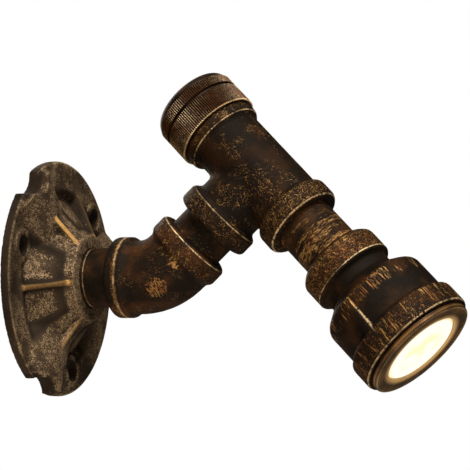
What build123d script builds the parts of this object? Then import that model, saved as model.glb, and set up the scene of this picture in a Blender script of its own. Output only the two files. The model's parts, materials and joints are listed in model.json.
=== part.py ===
"""Industrial pipe wall light: half-inch cast fittings on a floor flange, with an LED spot.

Millimetres. The origin is the centre of the flange on the wall plane. +Z is up, and the
light projects from the wall towards -Y. The whole pipe run lies in the YZ plane.
"""
from build123d import *
import math
import os

os.makedirs("parts", exist_ok=True)

# ---------------------------------------------------------------- pipe and screwed joints
PIPE_OD = 21.3
PIPE_WALL = 2.6
PIPE_CHAMFER = 0.6
JOINT_FIT = 0.05        # radial clearance of a screwed joint that stays put
SWIVEL_FIT = 0.08       # radial clearance of a screwed joint that is turned to aim the light
SIDE_GAP = 0.3          # free gap beside a piece that is not a fit
SEAT_GAP = 0.1          # gap between lead ends that meet at a swivel

# ---------------------------------------------------------------- wall flange
FLANGE_R = 42.4
RIM_HEIGHT = 3.5
RIM_ROUNDING = 1.1
POCKET_R = 31.0         # the rim's flat face ends here and the pockets begin
POCKET_FLOOR = 2.3
POCKET_WALL = 1.0       # radial run of the pocket's sloping outer wall
HUB_FOOT_R = 28.8
HUB_NECK_R = 16.5
HUB_NECK_HEIGHT = 12.8
BOSS_R = 15.7
BOSS_HEIGHT = 15.4
ARM_COUNT = 3
ARM_START_ANGLE = 16.5
ARM_HALF_WIDTH = 13.5
ARM_HEIGHT = 8.6
NOTCH_R = 8.5
NOTCH_DEPTH = 4.0
RIB_WIDTH = 2.4
RIB_ROUNDING = 0.9
RIB_END_R = 33.0
RIB_END_HEIGHT = 4.4
CREST_RIB_END_R = 27.0
SCREW_HOLE_R = 4.25
SCREW_CIRCLE_R = 34.0
SCREW_AFTER_ARM = 34.5  # degrees from an arm to the next screw hole
SCREW_PAD_R = 5.9
SCREW_PAD_RISE = 1.0    # how far the pad stands over the rim's face
BACK_RECESS_R = 24.0
BACK_RECESS_EDGE = 1.0
BACK_RECESS_DEPTH = 4.6
BACK_RECESS_FLOOR_R = 16.5

# ---------------------------------------------------------------- elbow
ELBOW_ANGLE = 45.0
ELBOW_FROM_WALL = 42.6
ELBOW_REACH = 17.2      # centre to end face
ELBOW_BODY_R = 13.2
ELBOW_BAND_R = 14.5
ELBOW_BAND = 8.2
ELBOW_SOCKET = 10.5

# ---------------------------------------------------------------- tee
ARM_LENGTH = 50.15      # elbow centre to tee centre
TEE_REACH = 24.9        # centre to the run's end faces
BRANCH_REACH = 25.4     # centre to the branch's end face
TEE_RUN_R = 12.85
TEE_BRANCH_R = 12.35
TEE_BAND_R = 14.7
TEE_BAND_START = 15.9   # centre to the head band
CAP_BAND_START = 18.5   # the run's band at the cap is shorter
BRANCH_BAND_START = 16.9
TEE_SOCKET = 11.5
TEE_CORNER = 2.0
TEE_REGISTER_R = 13.6   # turned-down end that the cap's skirt slides over
WATERWAY_R = 9.2        # inner passage between the sockets
BRANCH_BORE_R = 9.0
BAND_ROUNDING = 1.7
BAND_FOOT = 1.1         # rounding where a band meets the body

# ---------------------------------------------------------------- end cap
CAP_R = 15.75
CAP_LAP = 1.0           # how far the skirt reaches over the tee's end
CAP_HEIGHT = 16.6
CAP_CROWN_ROUNDING = 3.4
CAP_LOWER_BAND = 8.3    # skirt to groove
CAP_GROOVE = 1.3
CAP_GROOVE_DEPTH = 0.9
REED_COUNT = 120
REED_DEPTH = 0.4
CAP_SPIGOT_DEPTH = 9.0
CAP_SPIGOT_WALL = 2.2
CAP_TOP = 4.0
GASKET = 1.5
GASKET_WIDTH = 2.4

# ---------------------------------------------------------------- reducer and head
REDUCER_BAND_R = 15.2
REDUCER_BAND = 10.3
REDUCER_SOCKET = 10.6
NECK_R = 13.0
NECK_LENGTH = 4.9
BELL_SHOULDER = 7.5     # length over which the neck widens to the bell
BELL_R = 19.85
BELL_LENGTH = 21.0      # shoulder to mouth
BELL_RIB_COUNT = 2
BELL_RIB_ANGLE = 18.0
BELL_RIB_WIDTH = 4.0
BELL_RIB_RISE = 0.5     # how far the rib stands over the bell at the shoulder
MOUTH_BAND = 9.7
MOUTH_BAND_R = 21.85
MOUTH_END = 85.6        # tee centre to the mouth, along the head axis
BELL_WALL = 3.1
BELL_FLOOR_BACK = 2.0   # the bell's floor lies this far behind the shoulder's end
MOUTH_THREAD_R = 18.2
MOUTH_THREAD = 6.0

# ---------------------------------------------------------------- bezel and lens
BEZEL_R = 20.4
BEZEL_PROUD = 2.2       # how far the bezel's face stands past the mouth
BEZEL_SPIGOT = 4.6
BEZEL_GAP = 0.6         # width of the shadow groove behind the bezel
BEZEL_GROOVES = 2
BEZEL_GROOVE = 0.15
BEZEL_ROUNDING = 0.5
APERTURE_R = 14.4
LIP = 1.0
LENS_R = 16.2
LENS_THICK = 2.5
LENS_STEP = 0.55        # raised centre of the lens in the bezel's aperture
LENS_GASKET = 1.5
LENS_GASKET_WIDTH = 1.8

# ---------------------------------------------------------------- light engine
SPREADER = 8.0
PAD = 0.3
BOARD_R = 10.5
BOARD = 1.6
CHIP = 4.4
CHIP_HEIGHT = 0.9
CHIP_DOME_R = 1.7
REFLECTOR_WALL = 0.8
REFLECTOR_THROAT_R = 3.6
REFLECTOR_MOUTH_R = 15.0
REFLECTOR_RIM = 1.0
BOARD_SCREW_R = 1.25
BOARD_SCREW_HEAD_R = 1.9
BOARD_SCREW_HEAD = 1.3
BOARD_SCREW_LENGTH = 6.0
BOARD_SCREW_AT = 8.3

# ---------------------------------------------------------------- driver
DRIVER_R = 7.2
DRIVER_WALL = 0.8
DRIVER_START = 10.0     # from the tee centre towards the cap
DRIVER_LENGTH = 24.0
DRIVER_COLLAR = 2.0
DRIVER_BOARD = 1.2
DRIVER_BOARD_WIDTH = 11.0

# ---------------------------------------------------------------- leads and supply end
SUPPLY_LEAD_R = 1.9
LED_LEAD_R = 1.3
TEE_LEAD_OFFSET = 3.6
LED_LEAD_OFFSET = 4.6
ARM_LEAD_BEND = 14.0
TEE_LEAD_BEND = 9.0
LEAD_IN_DRIVER = 3.0
CONNECTOR_HEAD_R = 12.0
CONNECTOR_HEAD = 3.6
CONNECTOR_LENGTH = 13.0
CONNECTOR_ENTRY_R = 1.6
CONNECTOR_ENTRY_AT = 4.2
CONNECTOR_POLES = 3
EARTH_AT_R = 19.8
EARTH_PAD_R = 4.3
EARTH_PAD_HEIGHT = 2.4
EARTH_SCREW_R = 2.0
EARTH_SCREW_HEAD_R = 3.4
EARTH_SCREW_HEAD = 1.4
EARTH_SCREW_LENGTH = 4.0
EARTH_TAG = 0.8
EARTH_WIRE_R = 0.8

# ---------------------------------------------------------------- derived sizes and axes
PIPE_R = PIPE_OD / 2
PIPE_BORE_R = PIPE_R - PIPE_WALL
SOCKET_R = PIPE_R + JOINT_FIT
SWIVEL_SOCKET_R = PIPE_R + SWIVEL_FIT
CAP_SKIRT_START = TEE_REACH - CAP_LAP
CAP_GROOVE_START = CAP_SKIRT_START + CAP_LOWER_BAND
CAP_END = CAP_SKIRT_START + CAP_HEIGHT
CAP_REED_END = CAP_END - CAP_CROWN_ROUNDING
BELL_BORE_R = BELL_R - BELL_WALL
BELL_FULL = MOUTH_END - BELL_LENGTH
BELL_START = BELL_FULL - BELL_SHOULDER
BELL_FLOOR = BELL_FULL - BELL_FLOOR_BACK
REDUCER_START = BELL_START - NECK_LENGTH - REDUCER_BAND
BEZEL_THREAD_R = MOUTH_THREAD_R - SWIVEL_FIT
BEZEL_FRONT = MOUTH_END + BEZEL_PROUD
MOUTH_BAND_START = MOUTH_END - MOUTH_BAND
LENS_FRONT = BEZEL_FRONT - LIP
LENS_BACK = LENS_FRONT - LENS_THICK
LENS_GASKET_BACK = LENS_BACK - LENS_GASKET
BOARD_BACK = BELL_FLOOR + SPREADER + PAD
BOARD_FRONT = BOARD_BACK + BOARD
TEE_PIPE_STOP = TEE_REACH - TEE_SOCKET
BRANCH_PIPE_STOP = BRANCH_REACH - TEE_SOCKET
ELBOW_PIPE_STOP = ELBOW_REACH - ELBOW_SOCKET

X_AXIS = Vector(1, 0, 0)
OUT = Vector(0, -1, 0)
BEND = math.radians(ELBOW_ANGLE)
ARM = Vector(0, -math.cos(BEND), math.sin(BEND))
HEAD = Vector(0, -math.sin(BEND), -math.cos(BEND))
ELBOW_CENTRE = OUT * ELBOW_FROM_WALL
TEE_CENTRE = ELBOW_CENTRE + ARM * ARM_LENGTH

# Local axes of each frame: z along the pipe, x along +X.
WALL_FRAME = Plane(origin=(0, 0, 0), x_dir=X_AXIS, z_dir=OUT)
ELBOW_IN_FRAME = Plane(origin=ELBOW_CENTRE, x_dir=X_AXIS, z_dir=OUT * -1)
ARM_FRAME = Plane(origin=ELBOW_CENTRE, x_dir=X_AXIS, z_dir=ARM)
BRANCH_FRAME = Plane(origin=TEE_CENTRE, x_dir=X_AXIS, z_dir=ARM * -1)
HEAD_FRAME = Plane(origin=TEE_CENTRE, x_dir=X_AXIS, z_dir=HEAD)
CAP_FRAME = Plane(origin=TEE_CENTRE, x_dir=X_AXIS, z_dir=HEAD * -1)


# ---------------------------------------------------------------- shape helpers
def outline(corners):
    """Closed outline in the XZ plane; a corner is (radius, height) or (radius, height, rounding)."""
    face = make_face(Polyline([(corner[0], 0, corner[1]) for corner in corners], close=True))
    for corner in corners:
        if len(corner) == 3:
            vertex = face.vertices().sort_by_distance((corner[0], 0, corner[1]))[0]
            face = fillet(vertex, corner[2])
    return face


def turned(corners):
    """Solid of revolution about Z."""
    return revolve(outline(corners), Axis.Z)


def rod(radius, start, end):
    """Cylinder along Z from start to end."""
    return Pos(0, 0, start) * Cylinder(radius, end - start, align=(Align.CENTER, Align.CENTER, Align.MIN))


def tube(outer, inner, start, end):
    """Pipe along Z from start to end."""
    return rod(outer, start, end) - rod(inner, start, end)


def polar(radius, angle):
    """Point on a circle in the XY plane, angle in degrees."""
    return (radius * math.cos(math.radians(angle)), radius * math.sin(math.radians(angle)))


def banded_end(body_r, band_r, band, reach, start):
    """Solid fitting end along +Z: a plain body from start, then a rounded band up to reach."""
    foot = reach - band
    edge = min(BAND_ROUNDING, band * 0.27)
    return turned([
        (0, start), (body_r, start), (body_r, foot, BAND_FOOT), (band_r, foot + edge, edge),
        (band_r, reach - edge / 2, edge), (band_r - edge, reach), (0, reach)])


def nipple(start, end):
    """Pipe nipple with chamfered ends."""
    return turned([
        (PIPE_BORE_R, start), (PIPE_R - PIPE_CHAMFER, start), (PIPE_R, start + PIPE_CHAMFER),
        (PIPE_R, end - PIPE_CHAMFER), (PIPE_R - PIPE_CHAMFER, end), (PIPE_BORE_R, end)])


def swept_lead(points, radii, radius):
    """Round lead along straight runs and tangent arcs."""
    path = FilletPolyline(*points, radius=radii)
    start = Plane(origin=path @ 0, z_dir=path % 0)
    return sweep(start * Circle(radius), path=path)


# ---------------------------------------------------------------- wall flange
def flange_disc():
    """Rim, pocket floor, hub cone and boss as one turned blank."""
    return turned([
        (0, 0), (FLANGE_R, 0),
        (FLANGE_R, RIM_HEIGHT, RIM_ROUNDING), (POCKET_R, RIM_HEIGHT, POCKET_WALL / 2),
        (POCKET_R - POCKET_WALL, POCKET_FLOOR), (HUB_FOOT_R, POCKET_FLOOR),
        (HUB_NECK_R, HUB_NECK_HEIGHT, 0.5), (BOSS_R, HUB_NECK_HEIGHT + 0.5),
        (BOSS_R, BOSS_HEIGHT, 0.9), (0, BOSS_HEIGHT)])


def flange_recess():
    """Hollow in the flange's back: level round the bore, then sloping out towards the wall."""
    return turned([
        (0, 0), (BACK_RECESS_R, 0), (BACK_RECESS_R, BACK_RECESS_EDGE),
        (BACK_RECESS_FLOOR_R, BACK_RECESS_DEPTH), (0, BACK_RECESS_DEPTH)])


def flange_arm():
    """One raised arm along +X: a long round-backed swelling from the hub to the rim."""
    rise = ARM_HEIGHT - RIM_HEIGHT
    back_r = (ARM_HALF_WIDTH ** 2 + rise ** 2) / (2 * rise)
    log = Pos(0, 0, ARM_HEIGHT - back_r) * Rot(0, 90, 0) * rod(back_r, 0, FLANGE_R)
    within = tube(FLANGE_R - RIM_ROUNDING, BOSS_R - RIB_WIDTH, POCKET_FLOOR / 2, ARM_HEIGHT + RIM_HEIGHT)
    return log & within


def flange_rib(end_r, end_height):
    """One thin rib along +X that climbs from end_r to the boss."""
    profile = make_face(Polyline([
        (BOSS_R - 1, 0, POCKET_FLOOR / 2), (end_r, 0, POCKET_FLOOR / 2), (end_r, 0, end_height),
        (BOSS_R, 0, BOSS_HEIGHT - 1.2), (BOSS_R - 1, 0, BOSS_HEIGHT - 1.2)], close=True))
    rib = extrude(profile, RIB_WIDTH / 2, both=True)
    top = [edge for edge in rib.edges()
           if abs(abs(edge.center().Y) - RIB_WIDTH / 2) < 1e-6 and edge.center().Z > end_height * 0.9
           and abs((edge % 0).Z) > 0.1 and abs((edge % 0).X) > 0.1]
    return fillet(top, RIB_ROUNDING)


def wall_flange():
    """Floor flange: three arms with rim notches, crest ribs, thin ribs between, screw holes."""
    casting = flange_disc()
    notch_at = FLANGE_R - NOTCH_DEPTH + NOTCH_R
    holes = Plane.XY * rod(SOCKET_R, 0, 2 * BOSS_HEIGHT)
    for i in range(ARM_COUNT):
        angle = ARM_START_ANGLE + i * 360 / ARM_COUNT
        turn = Rot(0, 0, angle)
        casting += turn * flange_arm()
        casting += turn * flange_rib(CREST_RIB_END_R, ARM_HEIGHT)
        casting += Rot(0, 0, angle + 180 / ARM_COUNT) * flange_rib(RIB_END_R, RIB_END_HEIGHT)
        screw_at = polar(SCREW_CIRCLE_R, angle + SCREW_AFTER_ARM)
        casting += Pos(*screw_at, 0) * rod(SCREW_PAD_R, RIM_HEIGHT / 2, RIM_HEIGHT + SCREW_PAD_RISE)
        holes += Pos(*screw_at, 0) * rod(SCREW_HOLE_R, 0, 2 * ARM_HEIGHT)
        holes += Pos(*polar(notch_at, angle), 0) * rod(NOTCH_R, 0, 2 * ARM_HEIGHT)
    earth = Rot(0, 0, ARM_START_ANGLE) * Pos(-EARTH_AT_R, 0, 0)
    casting -= flange_recess()
    casting += earth * rod(EARTH_PAD_R, EARTH_PAD_HEIGHT, BACK_RECESS_DEPTH + EARTH_TAG)
    casting -= earth * rod(EARTH_PAD_R, 0, EARTH_PAD_HEIGHT)
    casting -= earth * rod(EARTH_SCREW_R + JOINT_FIT, 0, EARTH_PAD_HEIGHT + EARTH_SCREW_LENGTH)
    return WALL_FRAME * (casting - holes)


def wall_nipple():
    return WALL_FRAME * nipple(BACK_RECESS_DEPTH, ELBOW_FROM_WALL - ELBOW_PIPE_STOP)


# ---------------------------------------------------------------- supply end and earth
def supply_connector():
    """Three-pole round connector in the back of the wall nipple."""
    head_back = BACK_RECESS_DEPTH - CONNECTOR_HEAD
    plug_r = PIPE_BORE_R - JOINT_FIT
    end = BACK_RECESS_DEPTH + CONNECTOR_LENGTH
    body = turned([
        (0, head_back), (CONNECTOR_HEAD_R, head_back, 0.5), (CONNECTOR_HEAD_R, BACK_RECESS_DEPTH),
        (plug_r, BACK_RECESS_DEPTH), (plug_r, end, 0.8), (0, end)])
    for i in range(CONNECTOR_POLES):
        entry = polar(CONNECTOR_ENTRY_AT, 90 + i * 360 / CONNECTOR_POLES)
        body -= Pos(*entry, 0) * rod(CONNECTOR_ENTRY_R, 0, BACK_RECESS_DEPTH + CONNECTOR_LENGTH / 2)
    return WALL_FRAME * body


def earth_parts():
    """Ring tag, its screw and the short earth wire from the connector's edge."""
    place = WALL_FRAME * Rot(0, 0, ARM_START_ANGLE)
    tag_top = EARTH_PAD_HEIGHT
    tag_back = tag_top - EARTH_TAG
    barrel_end = CONNECTOR_HEAD_R + 1.2
    ring = Pos(-EARTH_AT_R, 0, 0) * tube(EARTH_SCREW_HEAD_R, EARTH_SCREW_R + JOINT_FIT, tag_back, tag_top)
    tongue = Pos((-EARTH_AT_R + EARTH_SCREW_R - barrel_end) / 2, 0, (tag_back + tag_top) / 2) * Box(
        EARTH_AT_R - EARTH_SCREW_R - barrel_end, 2.2, EARTH_TAG)
    tag = ring + (tongue - Pos(-EARTH_AT_R, 0, 0) * rod(EARTH_SCREW_R + JOINT_FIT, 0, tag_top))
    screw = Pos(-EARTH_AT_R, 0, 0) * turned([
        (0, tag_back - EARTH_SCREW_HEAD), (EARTH_SCREW_HEAD_R, tag_back - EARTH_SCREW_HEAD, 0.7),
        (EARTH_SCREW_HEAD_R, tag_back), (EARTH_SCREW_R, tag_back),
        (EARTH_SCREW_R, tag_top + EARTH_SCREW_LENGTH - 0.3), (0, tag_top + EARTH_SCREW_LENGTH - 0.3)])
    wire_z = (tag_back + tag_top) / 2
    wire = Pos(-barrel_end, 0, wire_z) * Rot(0, 90, 0) * rod(EARTH_WIRE_R, 0, barrel_end - CONNECTOR_HEAD_R)
    return place * tag, place * screw, place * wire


# ---------------------------------------------------------------- elbow and arm
def elbow():
    """Cast 45 degree elbow: two banded ends on a bent body."""
    straight = ELBOW_REACH - ELBOW_BAND - BAND_FOOT
    bend_r = straight / math.tan(BEND / 2)
    bend_axis = Axis(ELBOW_CENTRE - OUT * straight + OUT.cross(X_AXIS) * bend_r, X_AXIS)
    bend_start = Plane(origin=ELBOW_CENTRE - OUT * straight, x_dir=X_AXIS, z_dir=OUT)
    end = banded_end(ELBOW_BODY_R, ELBOW_BAND_R, ELBOW_BAND, ELBOW_REACH, straight)
    casting = revolve(bend_start * Circle(ELBOW_BODY_R), bend_axis, -ELBOW_ANGLE)
    passage = revolve(bend_start * Circle(WATERWAY_R), bend_axis, -ELBOW_ANGLE)
    for frame, socket_r in ((ELBOW_IN_FRAME, SWIVEL_SOCKET_R), (ARM_FRAME, SOCKET_R)):
        casting += frame * end
        passage += frame * rod(WATERWAY_R, straight, ELBOW_REACH)
        passage += frame * rod(socket_r, ELBOW_PIPE_STOP, ELBOW_REACH)
    return casting - passage


def arm_nipple():
    return ARM_FRAME * nipple(ELBOW_PIPE_STOP, ARM_LENGTH - BRANCH_PIPE_STOP)


# ---------------------------------------------------------------- tee and cap
def tee():
    """Cast tee: banded run and branch with a rounded inside corner."""
    head_band = TEE_REACH - TEE_BAND_START
    cap_band = TEE_REACH - CAP_BAND_START
    branch_band = BRANCH_REACH - BRANCH_BAND_START
    run = (banded_end(TEE_RUN_R, TEE_BAND_R, head_band, TEE_REACH, 0)
           + Rot(180, 0, 0) * banded_end(TEE_RUN_R, TEE_BAND_R, cap_band, TEE_REACH, 0))
    branch = Rot(90, 0, 0) * banded_end(TEE_BRANCH_R, TEE_BAND_R, branch_band, BRANCH_REACH, 0)
    body = run + branch
    corner = [edge for edge in body.edges()
              if -TEE_RUN_R < edge.center().Y < -1 and abs(edge.center().Z) < 1
              and edge.length > TEE_RUN_R * 2]
    room = min(TEE_BAND_START - TEE_BRANCH_R, BRANCH_BAND_START - TEE_RUN_R) - BAND_FOOT
    body = fillet(corner, min(TEE_CORNER, room * 0.8))
    body -= tube(TEE_BAND_R + 1, TEE_REGISTER_R, -TEE_REACH, SIDE_GAP - CAP_SKIRT_START)
    passage = rod(WATERWAY_R, -TEE_REACH, TEE_REACH)
    passage += Rot(90, 0, 0) * rod(BRANCH_BORE_R, 0, BRANCH_REACH)
    passage += rod(SOCKET_R, TEE_PIPE_STOP, TEE_REACH)
    passage += rod(SWIVEL_SOCKET_R, -TEE_REACH, -TEE_PIPE_STOP)
    passage += Rot(90, 0, 0) * rod(SWIVEL_SOCKET_R, BRANCH_PIPE_STOP, BRANCH_REACH)
    return HEAD_FRAME * (body - passage)


def reeded_band(start, end):
    """Toothed ring blank along Z."""
    points = []
    for i in range(REED_COUNT):
        points.append(polar(CAP_R, i * 360 / REED_COUNT))
        points.append(polar(CAP_R - REED_DEPTH, (i + 0.5) * 360 / REED_COUNT))
    return Pos(0, 0, start) * extrude(make_face(Polyline(points, close=True)), end - start)


def end_cap():
    """Screwed cap with two reeded bands, a skirt over the tee's end and a hollow spigot."""
    root = CAP_R - REED_DEPTH
    seat = TEE_REACH + GASKET
    spigot_r = PIPE_R
    cap = turned([
        (0, CAP_SKIRT_START), (root, CAP_SKIRT_START), (root, CAP_END, CAP_CROWN_ROUNDING), (0, CAP_END)])
    cap += reeded_band(CAP_SKIRT_START, CAP_GROOVE_START)
    cap += reeded_band(CAP_GROOVE_START + CAP_GROOVE, CAP_REED_END)
    cap -= tube(CAP_R + 1, root - CAP_GROOVE_DEPTH, CAP_GROOVE_START, CAP_GROOVE_START + CAP_GROOVE)
    cap -= rod(TEE_REGISTER_R + SIDE_GAP, CAP_SKIRT_START, seat)
    cap += rod(spigot_r, TEE_REACH - CAP_SPIGOT_DEPTH, seat)
    cap -= rod(spigot_r - CAP_SPIGOT_WALL, 0, CAP_END - CAP_TOP)
    return CAP_FRAME * cap


def cap_gasket():
    inner = PIPE_R + SIDE_GAP
    return CAP_FRAME * tube(inner + GASKET_WIDTH, inner, TEE_REACH, TEE_REACH + GASKET)


# ---------------------------------------------------------------- head
def head_nipple():
    return HEAD_FRAME * nipple(TEE_PIPE_STOP, REDUCER_START + REDUCER_SOCKET)


def bell_rib():
    """One axial rib along the bell, in the XZ plane, that runs out on the mouth band."""
    root = BELL_BORE_R + BELL_WALL / 2
    end = MOUTH_BAND_START + MOUTH_BAND * 0.4
    crown = MOUTH_BAND_R + BELL_RIB_RISE / 2
    profile = make_face(Polyline([
        (root, 0, BELL_FLOOR), (BELL_R + BELL_RIB_RISE, 0, BELL_FULL), (crown, 0, end - 1.5),
        (crown - 1, 0, end), (root, 0, end)], close=True))
    rib = extrude(profile, BELL_RIB_WIDTH / 2, both=True)
    top = [edge for edge in rib.edges()
           if abs(abs(edge.center().Y) - BELL_RIB_WIDTH / 2) < 1e-6 and edge.center().X > BELL_R
           and abs((edge % 0).Y) < 0.1 and BELL_FULL < edge.center().Z < end - 1.5]
    return fillet(top, BELL_RIB_WIDTH / 3)


def reducer_bell():
    """Cast reducer: small band, neck, bell shoulder, ribbed bell and mouth band."""
    band_end = REDUCER_START + REDUCER_BAND
    stop = REDUCER_START + REDUCER_SOCKET
    thread_start = MOUTH_END - MOUTH_THREAD
    bell = turned([
        (0, REDUCER_START), (REDUCER_BAND_R - BAND_ROUNDING, REDUCER_START),
        (REDUCER_BAND_R, REDUCER_START + BAND_ROUNDING, BAND_ROUNDING),
        (REDUCER_BAND_R, band_end, 0.7), (NECK_R, band_end + 0.9, 1.2), (NECK_R, BELL_START, 2.0),
        (BELL_R, BELL_FULL - 2.4, 3.4), (BELL_R, MOUTH_BAND_START, 0.6),
        (MOUTH_BAND_R, MOUTH_BAND_START + 1.2, 1.2), (MOUTH_BAND_R, MOUTH_END, 1.0), (0, MOUTH_END)])
    for i in range(BELL_RIB_COUNT):
        bell += Rot(0, 0, BELL_RIB_ANGLE + i * 360 / BELL_RIB_COUNT) * bell_rib()
    inside = turned([
        (0, REDUCER_START), (SOCKET_R, REDUCER_START), (SOCKET_R, stop), (WATERWAY_R, stop),
        (WATERWAY_R, BELL_FLOOR), (BELL_BORE_R, BELL_FLOOR), (BELL_BORE_R, thread_start),
        (MOUTH_THREAD_R, thread_start), (MOUTH_THREAD_R, MOUTH_END), (0, MOUTH_END)])
    return HEAD_FRAME * (bell - inside)


def bezel_ring():
    """Turned ring: threaded spigot, shadow groove, grooved side and a thin front lip."""
    side_start = MOUTH_END + BEZEL_GAP
    side = BEZEL_FRONT - BEZEL_ROUNDING - side_start
    step = side / (BEZEL_GROOVES + 1)
    bore = LENS_R + SIDE_GAP
    profile = [
        (bore, MOUTH_END - BEZEL_SPIGOT), (BEZEL_THREAD_R, MOUTH_END - BEZEL_SPIGOT),
        (BEZEL_THREAD_R, MOUTH_END), (BEZEL_R - 1.1, MOUTH_END), (BEZEL_R - 1.1, side_start),
        (BEZEL_R, side_start)]
    for i in range(BEZEL_GROOVES):
        at = side_start + step * (i + 1)
        profile += [(BEZEL_R, at - BEZEL_GROOVE), (BEZEL_R - BEZEL_GROOVE, at), (BEZEL_R, at + BEZEL_GROOVE)]
    profile += [
        (BEZEL_R, BEZEL_FRONT, BEZEL_ROUNDING), (APERTURE_R + 0.4, BEZEL_FRONT),
        (APERTURE_R, BEZEL_FRONT - 0.4), (APERTURE_R, LENS_FRONT), (bore, LENS_FRONT)]
    return HEAD_FRAME * turned(profile)


def lens():
    """Stepped front lens whose raised centre fills the bezel's aperture."""
    centre_r = APERTURE_R - SIDE_GAP
    return HEAD_FRAME * turned([
        (0, LENS_BACK), (LENS_R, LENS_BACK), (LENS_R, LENS_FRONT), (centre_r, LENS_FRONT),
        (centre_r, LENS_FRONT + LENS_STEP, 0.4), (0, LENS_FRONT + LENS_STEP)])


def lens_gasket():
    return HEAD_FRAME * tube(LENS_R, LENS_R - LENS_GASKET_WIDTH, LENS_GASKET_BACK, LENS_BACK)


def reflector():
    """Thin conical reflector from the LED to the lens gasket."""
    rim_r = LENS_R
    mouth = LENS_GASKET_BACK
    return HEAD_FRAME * turned([
        (REFLECTOR_THROAT_R, BOARD_FRONT), (REFLECTOR_THROAT_R + REFLECTOR_WALL, BOARD_FRONT),
        (REFLECTOR_MOUTH_R + REFLECTOR_WALL / 2, mouth - REFLECTOR_RIM), (rim_r, mouth - REFLECTOR_RIM),
        (rim_r, mouth), (REFLECTOR_MOUTH_R - REFLECTOR_WALL / 2, mouth)])


def board_hole(depth_start, depth_end, clearance):
    """Holes for the LED lead and the two board screws, along the head axis."""
    holes = Pos(0, LED_LEAD_OFFSET, 0) * rod(LED_LEAD_R + clearance, depth_start, depth_end)
    for side in (-1, 1):
        holes += Pos(side * BOARD_SCREW_AT, 0, 0) * rod(BOARD_SCREW_R + clearance, depth_start, depth_end)
    return holes


def heat_spreader():
    """Aluminium slug on the bell's floor, drilled for the lead and the board screws."""
    top = BELL_FLOOR + SPREADER
    slug = turned([(0, BELL_FLOOR), (BELL_BORE_R - SIDE_GAP, BELL_FLOOR), (BELL_BORE_R - SIDE_GAP, top, 0.6), (0, top)])
    slug -= Pos(0, LED_LEAD_OFFSET, 0) * rod(LED_LEAD_R + SIDE_GAP, BELL_FLOOR, top)
    for side in (-1, 1):
        slug -= Pos(side * BOARD_SCREW_AT, 0, 0) * rod(
            BOARD_SCREW_R + JOINT_FIT, BOARD_FRONT - BOARD_SCREW_LENGTH - 0.5, top)
    return HEAD_FRAME * slug


def thermal_pad():
    top = BELL_FLOOR + SPREADER
    return HEAD_FRAME * (rod(BOARD_R, top, top + PAD) - board_hole(top, top + PAD, SIDE_GAP))


def led_board():
    return HEAD_FRAME * (rod(BOARD_R, BOARD_BACK, BOARD_FRONT) - board_hole(BOARD_BACK, BOARD_FRONT, SIDE_GAP))


def led_emitter():
    base = Pos(0, 0, BOARD_FRONT + CHIP_HEIGHT / 2) * Box(CHIP, CHIP, CHIP_HEIGHT)
    dome = Pos(0, 0, BOARD_FRONT + CHIP_HEIGHT) * Sphere(CHIP_DOME_R)
    dome &= rod(CHIP, BOARD_FRONT + CHIP_HEIGHT, BOARD_FRONT + CHIP_HEIGHT + CHIP_DOME_R)
    return HEAD_FRAME * (base + dome)


def board_screws():
    """Two pan-head screws that hold the LED board on the slug."""
    screw = turned([
        (0, BOARD_FRONT - BOARD_SCREW_LENGTH), (BOARD_SCREW_R, BOARD_FRONT - BOARD_SCREW_LENGTH),
        (BOARD_SCREW_R, BOARD_FRONT), (BOARD_SCREW_HEAD_R, BOARD_FRONT),
        (BOARD_SCREW_HEAD_R, BOARD_FRONT + BOARD_SCREW_HEAD, 0.6), (0, BOARD_FRONT + BOARD_SCREW_HEAD)])
    pair = [HEAD_FRAME * Pos(side * BOARD_SCREW_AT, 0, 0) * screw for side in (-1, 1)]
    return Compound(children=pair)


# ---------------------------------------------------------------- driver
def driver_case():
    """Cup for the LED driver; its collar seats on the step in the tee's upper socket."""
    top = DRIVER_START + DRIVER_LENGTH
    inner = DRIVER_R - DRIVER_WALL
    collar_r = PIPE_R - SIDE_GAP
    return CAP_FRAME * turned([
        (inner, DRIVER_START), (DRIVER_R, DRIVER_START), (DRIVER_R, TEE_PIPE_STOP),
        (collar_r, TEE_PIPE_STOP), (collar_r, TEE_PIPE_STOP + DRIVER_COLLAR),
        (DRIVER_R, TEE_PIPE_STOP + DRIVER_COLLAR), (DRIVER_R, top, 0.8), (0, top),
        (0, top - DRIVER_WALL), (inner, top - DRIVER_WALL)])


def driver_board():
    """Driver circuit board with its coil, capacitor and rectifier."""
    top = DRIVER_START + DRIVER_LENGTH - DRIVER_WALL
    start = DRIVER_START + 0.5
    length = top - start
    board = Pos(0, 0, start + length / 2) * Box(DRIVER_BOARD_WIDTH, DRIVER_BOARD, length)
    face = DRIVER_BOARD / 2
    coil = Pos(0, -face - 1.4, start + 10) * Rot(0, 90, 0) * rod(1.6, -3, 3)
    capacitor = Pos(0, -face - 2.1, start + 16) * rod(2.2, -3, 3.5)
    rectifier = Pos(0, face + 0.9, start + 13) * Box(5.5, 2.0, 4.5)
    return CAP_FRAME * (board + coil + capacitor + rectifier)


# ---------------------------------------------------------------- leads
def wall_lead():
    start = BACK_RECESS_DEPTH + CONNECTOR_LENGTH
    return WALL_FRAME * rod(SUPPLY_LEAD_R, start, ELBOW_FROM_WALL - ELBOW_PIPE_STOP)


def arm_lead():
    """Supply lead through the elbow's bend and the arm nipple."""
    points = [
        ELBOW_CENTRE - OUT * (ELBOW_PIPE_STOP - SEAT_GAP), ELBOW_CENTRE,
        ELBOW_CENTRE + ARM * (ARM_LENGTH - BRANCH_PIPE_STOP)]
    return swept_lead(points, ARM_LEAD_BEND, SUPPLY_LEAD_R)


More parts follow.
